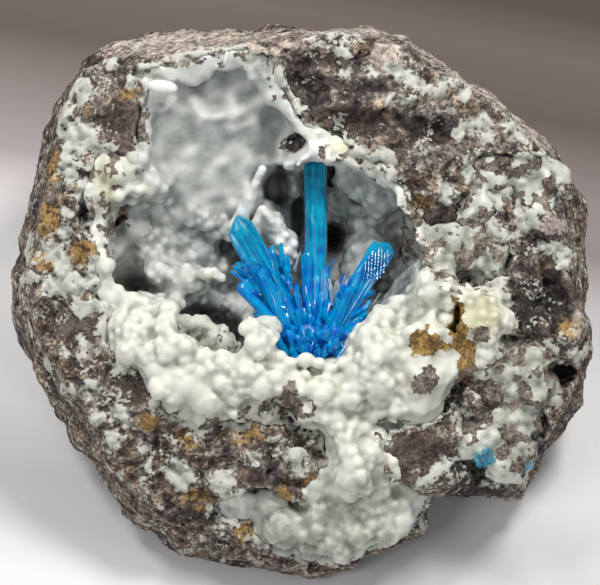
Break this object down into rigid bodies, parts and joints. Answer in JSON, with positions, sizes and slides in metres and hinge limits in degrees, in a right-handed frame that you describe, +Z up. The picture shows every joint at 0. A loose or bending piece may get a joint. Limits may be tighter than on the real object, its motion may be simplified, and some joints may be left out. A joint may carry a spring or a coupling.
{
  "type": "pentagonite mineral specimen",
  "caption": "Blue pentagonite blades in a hollow lined with grape-like zeolite crust, in a broken basalt nodule with a flat-cut base.",
  "frame": {"origin": "centre of the part's box on its flat-cut base", "axes": "+Z up from the base, -Y towards the low side of the leaning broken face, +X to the right across that face"},
  "size_m": [0.0938, 0.0858, 0.053],
  "materials": {
    "basalt": "rough broken rock",
    "zeolite": "dull, slightly waxy lumps",
    "pentagonite": "clear azure with glassy faces"
  },
  "bodies": {
    "root": {"basalt_matrix": "basalt", "zeolite_crust": "zeolite", "pentagonite_spray": "pentagonite", "pentagonite_tuft": "pentagonite", "pentagonite_edge_tuft": "pentagonite"}
  },
  "joints": []
}
